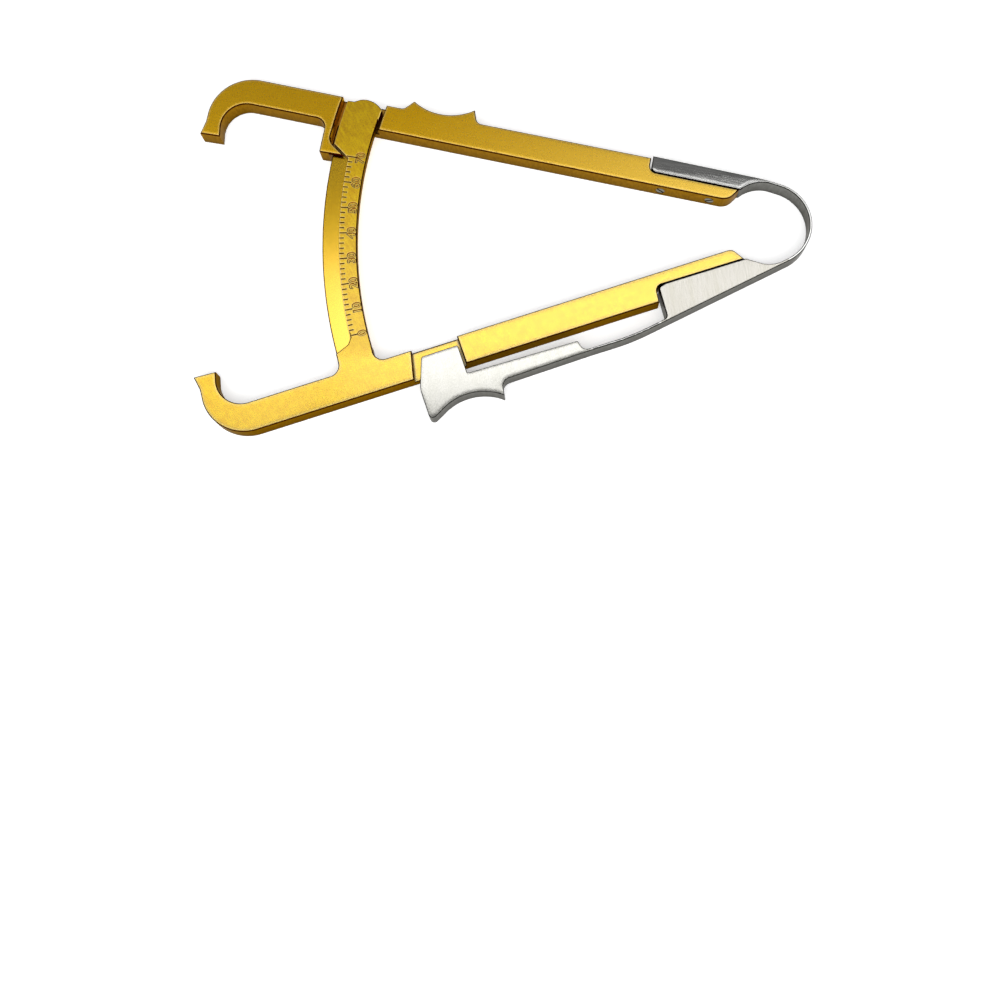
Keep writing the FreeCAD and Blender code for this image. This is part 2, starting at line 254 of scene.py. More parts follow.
share = 0.38
print("the largest share turns an edge by",
      round(degrees(atan2(share * sin(pi / 4), 1 - share + share * cos(pi / 4))), 1), "degrees")

# %% Satin gold
EDGE_GLINT = 0.7       # share of the painted highlight's pale colour at an edge
EDGE_GLINT_METALLIC = 0.3            # metallic value at an edge, lowered so that the edge looks paler: painted highlight
COAT_ROUGH = 0.12
FADE = -0.06, 0.04            # the painted paling is least where X minus Y is the first, most at the second
STRIP_X = -0.028, -0.032      # the scale strip's own finish comes in between these X
STRIP_Y = -0.033, -0.029      # and these Y


def satin_gold(name, light, deep, lean, lines, rough, spread, edge, turn, fade, clear, depth,
               strip_rough=0.0):
    """Anodised aluminium. The rubbing lines run at an angle (lean) from the X axis; edge is in mm."""
    made, tree, shader = metal_of(name)
    shader.inputs["Coat Weight"].default_value = clear
    shader.inputs["Coat IOR"].default_value = 1.6
    shader.inputs["Coat Roughness"].default_value = COAT_ROUGH
    place = node(tree, "ShaderNodeTexCoord").outputs["Object"]
    along = node(tree, "ShaderNodeMapping", {"Vector": place, "Rotation": (0, 0, -lean)})
    stretched = node(tree, "ShaderNodeMapping", {"Vector": along.outputs[0], "Scale": (0.1, 1.0, 1.0)})
    beads = node(tree, "ShaderNodeTexNoise", {"Vector": place, "Scale": 1 / (0.35 * MM), "Detail": 2.0})
    rubbed = node(tree, "ShaderNodeTexNoise", {"Vector": stretched.outputs[0], "Scale": 1 / (0.45 * MM),
                                               "Detail": 3.0})
    clouds = node(tree, "ShaderNodeTexNoise", {"Vector": place, "Scale": 1 / (2.0 * MM), "Detail": 3.0})
    grain = node(tree, "ShaderNodeMix", {0: lines, "A": beads.outputs[0], "B": rubbed.outputs[0]})
    dye = node(tree, "ShaderNodeMix", {0: 0.25, "A": grain.outputs[0], "B": clouds.outputs[0]})
    full = node(tree, "ShaderNodeMapRange", {"Value": dye.outputs[0], "From Min": 0.40, "From Max": 0.60})
    tint = node(tree, "ShaderNodeMix", {0: full.outputs[0], 6: linear(deep), 7: linear(light)},
                data_type="RGBA")
    x, y, _ = node(tree, "ShaderNodeSeparateXYZ", {0: place}).outputs
    # Painted light: the colour turns paler along X minus Y.
    run = node(tree, "ShaderNodeMath", {0: x, 1: y}, operation="SUBTRACT")
    faded = node(tree, "ShaderNodeMapRange", {"Value": run.outputs[0], "From Min": FADE[0],
                                              "From Max": FADE[1], "To Max": fade})
    paled_tint = node(tree, "ShaderNodeMix", {0: faded.outputs[0], 6: tint.outputs[2], 7: linear("#FFE278")},
                data_type="RGBA")
    right = node(tree, "ShaderNodeMapRange", {"Value": x, "From Min": STRIP_X[0], "From Max": STRIP_X[1]})
    above = node(tree, "ShaderNodeMapRange", {"Value": y, "From Min": STRIP_Y[0], "From Max": STRIP_Y[1]})
    strip = node(tree, "ShaderNodeMath", {0: right.outputs[0], 1: above.outputs[0]}, operation="MULTIPLY")
    width = node(tree, "ShaderNodeMapRange", {"Value": strip.outputs[0], "To Min": edge * MM,
                                              "To Max": min(edge, 0.5) * MM if strip_rough else edge * MM})
    normal, near = margin(tree, width.outputs[0], turn)
    # Painted highlight: near an edge the colour turns pale and the metal less metallic.
    glint_share = node(tree, "ShaderNodeMath", {0: near, 1: EDGE_GLINT}, operation="MULTIPLY")
    edge_glint_tint = node(tree, "ShaderNodeMix", {0: glint_share.outputs[0], 6: paled_tint.outputs[2], 7: linear("#FFE89C")},
                data_type="RGBA")
    # Painted shade: the colour is darker in tight corners.
    tree.links.new(soiled(tree, edge_glint_tint.outputs[2], 0.8, 0.15), shader.inputs["Base Color"])
    edge_metal = node(tree, "ShaderNodeMapRange", {"Value": near, "To Min": 1.0, "To Max": EDGE_GLINT_METALLIC})
    tree.links.new(edge_metal.outputs[0], shader.inputs["Metallic"])
    blast = node(tree, "ShaderNodeMapRange", {"Value": grain.outputs[0], "From Min": 0.3, "From Max": 0.7,
                                              "To Min": rough - spread, "To Max": rough + spread})
    extra = node(tree, "ShaderNodeMath", {0: strip.outputs[0], 1: strip_rough}, operation="MULTIPLY")
    total = node(tree, "ShaderNodeMath", {0: blast.outputs[0], 1: extra.outputs[0]})
    tree.links.new(total.outputs[0], shader.inputs["Roughness"])
    if strip_rough:
        dull = node(tree, "ShaderNodeMapRange", {"Value": strip.outputs[0], "To Min": COAT_ROUGH,
                                                 "To Max": COAT_ROUGH + strip_rough})
        tree.links.new(dull.outputs[0], shader.inputs["Coat Roughness"])
    dimples = node(tree, "ShaderNodeBump", {"Strength": depth, "Distance": 0.02 * MM,
                                            "Height": grain.outputs[0], "Normal": normal})
    tree.links.new(dimples.outputs[0], shader.inputs["Normal"])
    return made


UPPER_LEAN, LOWER_LEAN = -radians(2.6) - HALF_OPEN, radians(3.4) + HALF_OPEN
upper_gold = satin_gold("bead_blasted_gold_anodising", "#FFC70C", "#F8BE08", UPPER_LEAN, lines=0.35,
                        rough=0.28, spread=0.015, edge=1.3, turn=0.34, fade=0.4, clear=0.5, depth=0.035)
# The lower arm's colour is paler and yellower than the upper arm's: painted light.
lower_gold = satin_gold("rubbed_gold_anodising", "#FFD506", "#E4AE00", radians(-60), lines=0.45, rough=0.24,
                        spread=0.04, edge=1.8, turn=0.18, fade=0.4, clear=0.7, depth=0.3, strip_rough=0.07)
track_gold = satin_gold("polished_gold_track", "#FFCB06", "#F8C302", radians(-60), lines=0.30, rough=0.19,
                        spread=0.02, edge=0.3, turn=0.2, fade=0.65, clear=0.9, depth=0.08)
print("bars lean", round(degrees(UPPER_LEAN), 1), "and", round(degrees(LOWER_LEAN), 1), "degrees")

# %% [markdown]
# The narrow sides of the arms were milled to shape before anodising. The cutter leaves fine upright
# ridges there. The sides get a browner, darker colour than the faces, painted shade for the darker
# surroundings that they mirror, and the broken edges a still darker one, painted shade too. The
# stamped scale is dark brown. A bare metal turns paler where it is seen at a flat angle; that pale
# sheen is kept down and made brown, which is painted shade as well.

# %% Milled gold and dark edges
FAST_RISE = 0.45      # power below 1: the painted shadow fades quickly above the side's lower edge


def milled_metal(name, light, deep, rough, ridge, sheen):
    """Metal side that a side-cutting mill left: upright ridges, and painted shadow towards its lower edge."""
    made, tree, shader = metal_of(name, rough, sheen)
    place = node(tree, "ShaderNodeTexCoord").outputs["Object"]
    upright = node(tree, "ShaderNodeMapping", {"Vector": place, "Scale": (1.0, 1.0, 0.3)})
    ridges = node(tree, "ShaderNodeTexNoise", {"Vector": upright.outputs[0], "Scale": 1 / (ridge * MM),
                                               "Detail": 3.0})
    bright = node(tree, "ShaderNodeMapRange", {"Value": ridges.outputs[0], "From Min": 0.3, "From Max": 0.7})
    tint = node(tree, "ShaderNodeMix", {0: bright.outputs[0], 6: linear(deep), 7: linear(light)},
                data_type="RGBA")
    # Painted shadow: the side is darker towards its lower edge, where it meets the floor.
    height = node(tree, "ShaderNodeSeparateXYZ", {0: place}).outputs["Z"]
    up = node(tree, "ShaderNodeMapRange", {"Value": height, "From Min": 0.0, "From Max": FACE})
    rise = node(tree, "ShaderNodeMath", {0: up.outputs[0], 1: FAST_RISE}, operation="POWER")
    unshaded_share = node(tree, "ShaderNodeMapRange", {"Value": rise.outputs[0], "To Min": 0.3, "To Max": 1.05})
    shaded = node(tree, "ShaderNodeVectorMath", {0: tint.outputs[2], "Scale": unshaded_share.outputs[0]},
                  operation="SCALE")
    # Painted shade: the colour is darker in tight corners.
    tree.links.new(soiled(tree, shaded.outputs[0], 0.6, 0.25), shader.inputs["Base Color"])
    cut = node(tree, "ShaderNodeBump", {"Strength": 0.15, "Distance": 0.02 * MM, "Height": ridges.outputs[0]})
    tree.links.new(cut.outputs[0], shader.inputs["Normal"])
    return made


# The sides' colours are darker than the faces': painted shade.
milled_gold = milled_metal("side_milled_gold_anodising", "#906810", "#765206", 0.34, 0.5, "#D8CEBF")
# Painted light: the channel's outer wall and floor are paler than the other sides.
painted_light_channel_gold = milled_metal("painted_light_channel_wall", "#DCAA4C", "#BC8C34", 0.3, 0.5, "#E0C890")
# Painted shade: the lower arm's sides are darker still than the upper arm's.
lower_side_gold = milled_metal("painted_shade_gold_side", "#86640E", "#6E5008", 0.34, 0.5, "#C4B290")
# Dark brown of the stamped marks, and painted shade on the crown's sides in the channel's gap.
stamp_and_gap_shade_gold = milled_metal("brown_stamping_and_gap_shade", "#9C5C04", "#744004", 0.35, 0.4, "#A46C18")
# Painted shade: the broken edges and the walls round the lip are dark brown.
shade_painted_gold = milled_metal("painted_shade_gold_edge", "#421804", "#2E0E02", 0.35, 0.4, "#5A341C")
# Painted shadow: the groove along each seam is almost black.
seam_shadow_paint = milled_metal("painted_seam_shadow", "#140E0A", "#0A0806", 0.5, 0.4, "#303030")
print("gold finishes:", upper_gold.name, lower_gold.name, milled_gold.name, shade_painted_gold.name)

# %% [markdown]
# ## Spring steel
# The spring is stainless strip steel. Its faces were ground flat with a belt that ran across the
# strip, which leaves fine scratches across each part, and the lever and the upper tang were then
# polished. Steel mirrors the light more sharply than the gold does, so it is almost white where it
# mirrors the strip of light and dark where it mirrors the room. The scratches are about 0.05 mm wide
# and drawn at 0.3 mm.

# %% Ground steel
def ground_steel(name, light, deep, lean, rough, spread, edge, depth=0.15, turn=0.2, short=0.08):
    """Belt-ground steel with scratches that run at an angle (lean) from the X axis."""
    made, tree, shader = metal_of(name)
    place = node(tree, "ShaderNodeTexCoord").outputs["Object"]
    along = node(tree, "ShaderNodeMapping", {"Vector": place, "Rotation": (0, 0, -lean)})
    stretched = node(tree, "ShaderNodeMapping", {"Vector": along.outputs[0], "Scale": (short, 1.0, 1.0)})
    scratches = node(tree, "ShaderNodeTexNoise", {"Vector": stretched.outputs[0], "Scale": 1 / (0.3 * MM),
                                                  "Detail": 3.0})
    bands = node(tree, "ShaderNodeTexNoise", {"Vector": stretched.outputs[0], "Scale": 1 / (2.5 * MM),
                                              "Detail": 2.0})
    grain = node(tree, "ShaderNodeMix", {0: 0.45, "A": scratches.outputs[0], "B": bands.outputs[0]})
    bright = node(tree, "ShaderNodeMapRange", {"Value": grain.outputs[0], "From Min": 0.38, "From Max": 0.62})
    tint = node(tree, "ShaderNodeMix", {0: bright.outputs[0], 6: linear(deep), 7: linear(light)},
                data_type="RGBA")
    # Painted shade: the colour is darker in tight corners.
    tree.links.new(soiled(tree, tint.outputs[2], 0.6, 0.3), shader.inputs["Base Color"])
    gloss = node(tree, "ShaderNodeMapRange", {"Value": grain.outputs[0], "From Min": 0.3, "From Max": 0.7,
                                              "To Min": rough - spread, "To Max": rough + spread})
    tree.links.new(gloss.outputs[0], shader.inputs["Roughness"])
    cut = node(tree, "ShaderNodeBump", {"Strength": depth, "Distance": 0.02 * MM,
                                        "Height": scratches.outputs[0],
                                        "Normal": margin(tree, edge * MM, turn)[0]})
    tree.links.new(cut.outputs[0], shader.inputs["Normal"])
    return made


ACROSS = LOWER_LEAN + radians(80)
tang_steel = ground_steel("belt_ground_tang_steel", "#D2CFC8", "#B9B6AC", ACROSS, 0.23, 0.04,
                          edge=0.8, depth=0.2, turn=0.12)
lever_steel = ground_steel("polished_lever_steel", "#CECDC7", "#BCBBB4", ACROSS, 0.14, 0.03,
                           edge=1.6, depth=0.2, short=0.6)
upper_steel = ground_steel("polished_upper_tang_steel", "#D0D0CE", "#B2B2B0", UPPER_LEAN, 0.07, 0.015,
                           edge=1.6, turn=0.38)
thin_steel = ground_steel("polished_spring_band", "#D8D8D6", "#CCCCCA", LOWER_LEAN, 0.16, 0.02, edge=0.05)
# Painted shade: the spring's sides are darker than its faces, and its broken edges darker still.
band_steel = milled_metal("rolled_spring_side", "#7C7C79", "#696966", 0.25, 0.8, "#BCBBB8")
dark_steel = milled_metal("painted_shade_steel_edge", "#343430", "#262624", 0.3, 0.4, "#5C5C58")
print("steel finishes:", [m.name for m in (tang_steel, lever_steel, upper_steel, thin_steel, band_steel)])

# %% [markdown]
# ## From a CAD solid to a finished piece
# A plate piece is cut from sheet, and what the eye reads first is its edge: a real edge is never
# sharp, and its small round catches a line of light. The solids come as loose triangles. A copy is
# merged into whole faces, its narrow sides get their own finish, and then the edges round its faces
# are bevelled.

# %% Copy, sort and break the edges
from contextlib import contextmanager

WELD = 0.002 * MM     # corners nearer than this are one corner
ON_FACE, ON_SIDE, ON_RIM, ON_SEAM, ON_MILLED, ON_STAMP = range(6)     # order of an arm's finishes


def only(piece):
    """Selects one piece and makes it active."""
    bpy.ops.object.select_all(action="DESELECT")
    piece.select_set(True)
    bpy.context.view_layer.objects.active = piece


@contextmanager
def all_selected(piece):
    """Edit mode with the whole piece selected, for as long as the with block lasts."""
    only(piece)
    bpy.ops.object.mode_set(mode="EDIT")
    bpy.ops.mesh.select_all(action="SELECT")
    yield
    bpy.ops.object.mode_set(mode="OBJECT")


def is_flat(face):
    """True for a flat face of the plate, and False for one of its narrow sides."""
    return abs(face.normal.z) > 0.7


def stock(source, name):
    """Copy of a CAD solid with its triangles merged into whole faces."""
    piece = bpy.data.objects.new(name, frame["nodes"][source].data.copy())
    bpy.context.scene.collection.objects.link(piece)
    piece.data.materials.clear()
    only(piece)
    bpy.ops.mesh.customdata_custom_splitnormals_clear()
    with all_selected(piece):
        bpy.ops.mesh.remove_doubles(threshold=WELD)
        bpy.ops.mesh.dissolve_limited(angle_limit=radians(0.4))
    return piece


ARC_STEP = 0.01 * MM                           # steps of an arc are longer than this,
ARC_SPREAD = 0.08                              # equally long to within this share,
ARC_TURNS = radians(0.5), radians(50)          # and turn by an angle between these


def arc_points(before, start, end, after, count):
    """Places between start and end on the arc that their neighbours suggest, or none on a straight."""
    def turn(a, b, c):
        u, v = (b - a).xy, (c - b).xy
        if min(u.length, v.length) < ARC_STEP or abs(u.length - v.length) > ARC_SPREAD * v.length:
            return None
        angle = u.angle_signed(v)
        return angle if ARC_TURNS[0] < abs(angle) < ARC_TURNS[1] else None

    turns = [t for t in (turn(before, start, end), turn(start, end, after)) if t is not None]
    if not turns:
        return []
    half = sum(turns) / len(turns) / 2
    chord = end - start
    radius = chord.length / (2 * sin(half))
    across = Vector((chord.y, -chord.x, 0)).normalized()
    points = []
    for i in range(1, count + 1):
        part = half * (1 - 2 * i / (count + 1))
        points.append(start + chord * (0.5 - sin(part) / (2 * sin(half)))
                      - across * radius * (cos(part) - cos(half)))
    return points


def rounder(piece, cuts=3):
    """Divides the arcs of a plate's outlines, so that they stay round when seen from near."""
    only(piece)
    bpy.ops.object.mode_set(mode="EDIT")
    bpy.ops.mesh.select_mode(type="EDGE")
    bpy.ops.mesh.select_all(action="DESELECT")
    mesh = bmesh.from_edit_mesh(piece.data)
    moves, count = {}, 0
    for face in mesh.faces:
        if not is_flat(face):
            continue
        around = [loop.vert.co for loop in face.loops]
        for i, loop in enumerate(face.loops):
            before, start, end, after = (around[(i + k) % len(around)] for k in (-1, 0, 1, 2))
            arc = arc_points(before, start, end, after, cuts)
            for k, point in enumerate(arc, 1):
                straight = start.lerp(end, k / (cuts + 1))
                moves[tuple(round(c / MM, 3) for c in straight)] = point.copy()
            if arc:
                loop.edge.select_set(True)
                count += 1
    bmesh.update_edit_mesh(piece.data)
    bpy.ops.mesh.subdivide(number_cuts=cuts)
    mesh = bmesh.from_edit_mesh(piece.data)
    moved = 0
    for vertex in mesh.verts:
        point = moves.get(tuple(round(c / MM, 3) for c in vertex.co))
        if point:
            vertex.co = point
            moved += 1
    bmesh.update_edit_mesh(piece.data)
    bpy.ops.object.mode_set(mode="OBJECT")
    print(piece.name, "arc edges divided:", count, "corners moved:", moved)


def finishes(piece, face, side, *others):
    """Gives the flat faces one finish and the narrow sides another; the others are for edges."""
    for finish in (face, side, *others):
        piece.data.materials.append(finish)
    for polygon in piece.data.polygons:
        polygon.material_index = ON_FACE if is_flat(polygon) else ON_SIDE


def is_rim(edge):
    """True for an outer edge between a flat face and a narrow side."""
    flat = [is_flat(face) for face in edge.link_faces]
    return flat[0] != flat[1] and edge.is_convex


def broken_edges(piece, width, finish, seam_width=0.3, wanted=is_rim):
    """Rounds the rims by a width in mm, and those along a seam by a wider one; gives them a finish."""
    only(piece)
    bpy.ops.object.mode_set(mode="EDIT")
    mesh = bmesh.from_edit_mesh(piece.data)
    weight = mesh.edges.layers.float.new("bevel_weight_edge")
    count = 0
    for edge in mesh.edges:
        if edge.is_manifold and wanted(edge):
            middle = (edge.verts[0].co + edge.verts[1].co) / 2
            edge[weight] = 1.0 if at_seam(middle) else width / seam_width
            count += 1
    bmesh.update_edit_mesh(piece.data)
    bpy.ops.object.mode_set(mode="OBJECT")
    bevel = piece.modifiers.new("broken_edges", "BEVEL")
    bevel.limit_method, bevel.offset_type = "WEIGHT", "OFFSET"
    bevel.width, bevel.segments, bevel.material = seam_width * MM, 2, finish
    bevel.miter_outer, bevel.miter_inner = "MITER_SHARP", "MITER_SHARP"
    bevel.use_clamp_overlap = False
    bpy.ops.object.modifier_apply(modifier=bevel.name)
    piece.data.attributes.remove(piece.data.attributes["bevel_weight_edge"])
    print(piece.name, "broken edges:", count)


def smooth(piece):
    """Smooths the curved sides and keeps the flat faces flat."""
    only(piece)
    bpy.ops.object.shade_smooth_by_angle(angle=radians(35))
    weigh = piece.modifiers.new("flat_faces", "WEIGHTED_NORMAL")
    weigh.keep_sharp = True
    bpy.ops.object.modifier_apply(modifier=weigh.name)


# %% [markdown]
# ## Seams
# Where an arm meets a tang of the spring, both edges are broken, and the groove between them reads
# as a dark line. The broken edges along it are wider than the others and get an almost black finish:
# a painted shadow in the groove.

# %% Find and darken the seams
def closed_place(x, y, side):
    """Place on an arm (side 1 upper, -1 lower), from mm off the hinge with the caliper closed."""
    turn = -side * HALF_OPEN
    return Vector((HINGE.x + MM * (x * cos(turn) - y * sin(turn)),
                   HINGE.y + MM * (x * sin(turn) + y * cos(turn))))


def from_hinge(place):
    """Distance of a place from the hinge, in mm."""
    return (place.xy - HINGE).length / MM


# each seam runs along a tang's end and then along its side
SEAMS = [[closed_place(x, y, 1) for x, y in ((-38.6, 11.5), (-38.6, 9.6), (-13.2, 8.37))],
         [closed_place(x, y, -1) for x, y in ((-38.0, -17.0), (-38.0, -7.5), (-12.6, -6.16))]]
SEAM_DEPTH = 0.4 * MM


def at_seam(place, reach=0.9):
    """True for a place on the face that lies within reach (mm) of a seam."""
    if place.z < FACE - SEAM_DEPTH:
        return False
    for line in SEAMS:
        for a, b in zip(line, line[1:]):
            run = b - a
            part = (place.xy - a).dot(run) / run.length_squared
            if -0.02 < part < 1.02 and (place.xy - a - run * part).length < reach * MM:
                return True
    return False


def darken_seams(piece, edge_finish, finish):
    """Gives the broken edges along the seams a finish of their own, a painted shadow."""
    count = 0
    for polygon in piece.data.polygons:
        if polygon.material_index == edge_finish and at_seam(polygon.center):
            polygon.material_index = finish
            count += 1
    print(piece.name, "seam faces:", count)


print("seams run for, mm:", [round(sum((b - a).length for a, b in zip(s, s[1:])) / MM, 1) for s in SEAMS])

# %% [markdown]
# ## Upper arm
# The upper arm has a hooked jaw, a tab with a thin pointer lip, a channel that the scale strip
# slides through, and a finger rest between two ridges. The channel's outer wall and its floor get a
# brighter finish than the other sides, painted light where the strip shades them. Round the lip and at
# the channel's inner wall the faces get the dark finish, painted shade. The lip's lower side continues
# the tab's, so that side is cut in two where the lip starts, and each half gets its own finish.

# %% Upper arm
EDGE = 0.29                   # mm, width of the broken edges of the arms
CHANNEL = (115.0, 130.0)      # mm from the hinge, with some room past both walls
INNER_WALL = 117.0            # mm from the hinge, just past the channel's inner wall
CHANNEL_FLOOR = 2.6           # mm, height of the channel's floor
LIP_BELOW = 4.3               # mm, height that only the lip is above

upper_arm = stock("upper_arm", "gold_upper_arm")
rounder(upper_arm)
down = (closed_place(0, -1, 1) - HINGE).normalized()
lip_root = closed_place(-127.9, 0.25, 1)
only(upper_arm)
bpy.ops.object.mode_set(mode="EDIT")
bpy.ops.mesh.select_mode(type="FACE")
bpy.ops.mesh.select_all(action="DESELECT")
mesh = bmesh.from_edit_mesh(upper_arm.data)
for face in mesh.faces:
    near_lip = (face.calc_center_median().xy - lip_root).length < 5 * MM
    face.select_set(near_lip and face.normal.xy.dot(down) > 0.99)
bmesh.update_edit_mesh(upper_arm.data)
bpy.ops.mesh.bisect(plane_co=lip_root.to_3d(), plane_no=(down.y, -down.x, 0))
bpy.ops.object.mode_set(mode="OBJECT")
finishes(upper_arm, upper_gold, milled_gold, shade_painted_gold, seam_shadow_paint, painted_light_channel_gold)
for polygon in upper_arm.data.polygons:
    low = min(upper_arm.data.vertices[i].co.z for i in polygon.vertices) / MM
    radius = from_hinge(polygon.center)
    by_channel = CHANNEL[0] < radius < CHANNEL[1] and polygon.center.y > 0.02
    wall = not is_flat(polygon) and low > CHANNEL_FLOOR - 0.1
    floor_face = polygon.normal.z > 0.7 and abs(polygon.center.z / MM - CHANNEL_FLOOR) < 0.01
    # Painted light on the channel's outer wall and floor; painted shade round the lip and at the inner wall.
    if by_channel and (wall or floor_face):
        polygon.material_index = ON_RIM if low > LIP_BELOW or radius < INNER_WALL else ON_MILLED
broken_edges(upper_arm, EDGE, ON_RIM)
darken_seams(upper_arm, ON_RIM, ON_SEAM)
smooth(upper_arm)
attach(upper_arm, "upper_frame")
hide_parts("upper_arm")

# %% [markdown]
# ## Lower arm
# The lower arm carries the curved strip, whose outer part is a polished track a little below the
# face. Its edges are broken before the scale is engraved, because a bevel can't run along an edge
# that the marks have notched.

# %% Lower arm
LAND = 122.0          # mm from the hinge to the edge where the pointer's track starts
TRACK_HEIGHT = 4.1    # mm, height of the track
lower_arm = stock("lower_arm", "gold_lower_arm")
rounder(lower_arm)
finishes(lower_arm, lower_gold, lower_side_gold, shade_painted_gold, seam_shadow_paint, track_gold, stamp_and_gap_shade_gold)
for polygon in lower_arm.data.polygons:
    if polygon.normal.z > 0.7 and abs(polygon.center.z - TRACK_HEIGHT * MM) < 0.01 * MM:
        polygon.material_index = ON_MILLED


def off_track(edge):
    """True for a rim that isn't the edge between the strip's land and its track."""
    middle = (edge.verts[0].co + edge.verts[1].co) / 2
    by_land = abs(from_hinge(middle) - LAND) < 0.2 and middle.z > 4.5 * MM and middle.y > -0.0255
    return is_rim(edge) and not by_land


broken_edges(lower_arm, EDGE, ON_RIM, wanted=off_track)
darken_seams(lower_arm, ON_RIM, ON_SEAM)

# %% [markdown]
# The strip ends in a crown that slides between the walls of the upper arm's channel. The crown's edges
# that face the walls keep the face's finish, and the sides below them get the dark brown of the
# stamping: painted shade in the narrow gap.

# %% Crown
CROWN_STARTS = 24.95, 31.0     # degrees, at the lip and at the channel's inner end
CROWN_MIDDLE = 118.0           # mm from the hinge
rubbed = 0
# Painted shade: the crown's sides in the gap get the dark brown finish.
for polygon in lower_arm.data.polygons:
    off_hinge = polygon.center.xy - HINGE
    radius = from_hinge(polygon.center)
    angle = degrees(atan2(off_hinge.y, -off_hinge.x) + HALF_OPEN)
    if angle < CROWN_STARTS[0 if radius > CROWN_MIDDLE else 1] or not 112 < radius < 130:
        continue
    faces_gap = abs(polygon.normal.xy.dot(off_hinge.normalized())) > 0.35
    if polygon.material_index == ON_RIM and faces_gap and polygon.center.z > FACE / 2:
        polygon.material_index = ON_FACE
        rubbed += 1
    elif polygon.material_index == ON_SIDE:
        polygon.material_index = ON_STAMP
        rubbed += 1
print("crown faces with another finish:", rubbed)

# %% [markdown]
# ## The scale
# A graduation is a short groove pressed across the strip, and a number is stamped with a punch whose
# sides slope, so its floor is a little smaller than its outline and its edges show as two thin dark
# lines. Each cutter has that slope. A mark for g millimetres stands where the jaws are g apart: the
# half opening is the angle whose sine is half of g over the jaws' distance from the hinge. The long
# and the short cutter have one shape, and each mark is a turned copy. Plain triangles cut most cleanly,
# so the arm is divided into them first, and afterwards slivers are welded and flat faces made whole.

# %% Mark cutter
LONG_MARK, SHORT_MARK = 2.15, 1.3                  # mm
MARK_WIDTH, MARK_HEIGHT = 0.62 * MM, 0.6 * MM
FIRST_MARK = 0.12                                  # degrees from the jaw line to the mark for 0


def mark_angle(reading):
    """Angle on the strip, in degrees, at which the pointer shows a reading in mm."""
    return FIRST_MARK + degrees(2 * asin(reading / 2 / TIP_RADIUS))


def mark_cutter(reading, length):
    """Wedge that cuts one groove inwards from the track's edge; it starts 0.5 mm before that edge."""
    bpy.ops.object.select_all(action="DESELECT")
    bpy.ops.mesh.primitive_cube_add(size=1.0, scale=((length + 0.5) * MM, MARK_WIDTH, MARK_HEIGHT))
    cutter = bpy.context.active_object
    cutter.name = "mark_cutter"
    bpy.ops.object.mode_set(mode="EDIT")
    bpy.ops.mesh.select_all(action="SELECT")
    bpy.ops.transform.translate(value=((length / 2 - 0.25) * MM, 0, 0))
    bpy.ops.mesh.select_all(action="DESELECT")
    mesh = bmesh.from_edit_mesh(cutter.data)
    for face in mesh.faces:
        face.select_set(face.normal.z < -0.5)
    bmesh.update_edit_mesh(cutter.data)
    bpy.ops.transform.resize(value=(1.0, 0.25, 1.0))
    bpy.ops.object.mode_set(mode="OBJECT")
    angle = mark_angle(reading)
    cutter.location = on_lower_arm(LAND, angle) + Vector((0, 0, 0.06 * MM))
    cutter.rotation_euler = (0, 0, HALF_OPEN - radians(angle))
    return cutter


cutters = [mark_cutter(g, SHORT_MARK if g % 10 else LONG_MARK) for g in range(0, 71, 2)]
print("marks:", len(cutters))

# %% Number cutters
NUMBER_SIZE = 3.15        # mm
NUMBER_RADIUS = 118.55    # mm from the hinge to the middle of the numbers


def number_cutter(reading):
    """Stamp of a number whose digits stand with their tops towards the jaws."""
    bpy.ops.object.select_all(action="DESELECT")
    bpy.ops.object.text_add()
    text = bpy.context.active_object.data
    text.body = str(reading)
    text.size = NUMBER_SIZE * MM
    text.align_x, text.align_y = "CENTER", "CENTER"
    text.extrude = 0.02 * MM
    text.bevel_depth = 0.2 * MM
    text.bevel_resolution = 0
    text.resolution_u = 3
    bpy.ops.object.convert(target="MESH")
    cutter = bpy.context.active_object
    cutter.name = "number_cutter"
    with all_selected(cutter):
        bpy.ops.mesh.remove_doubles(threshold=0.001 * MM)
        bpy.ops.mesh.normals_make_consistent(inside=False)
    angle = mark_angle(reading)
    cutter.location = on_lower_arm(NUMBER_RADIUS, angle)
    cutter.rotation_euler = (0, 0, pi / 2 + HALF_OPEN - radians(angle))
    return cutter


numbers = [number_cutter(g) for g in range(0, 71, 10)]
print("numbers:", len(numbers))

# %% Engrave
SLIVER = 0.005 * MM       # width of a face that is too thin to keep


def engrave(piece, tools, self_crossing):
    """Cuts the tools out of the piece's face; the sloping sides of a number can cross each other."""
    bpy.ops.object.select_all(action="DESELECT")
    for tool in tools:
        tool.select_set(True)
    bpy.context.view_layer.objects.active = tools[0]
    bpy.ops.object.join()
    cutter = bpy.context.active_object
    bpy.ops.object.transform_apply(location=True, rotation=True, scale=True)
    cutter.data.materials.clear()
    cutter.data.materials.append(stamp_and_gap_shade_gold)
    only(piece)
    cut = piece.modifiers.new("engraving", "BOOLEAN")
    cut.operation, cut.solver, cut.object = "DIFFERENCE", "EXACT", cutter
    cut.use_self = self_crossing
    cut.material_mode = "TRANSFER"
    bpy.ops.object.modifier_apply(modifier=cut.name)
    bpy.data.objects.remove(cutter)


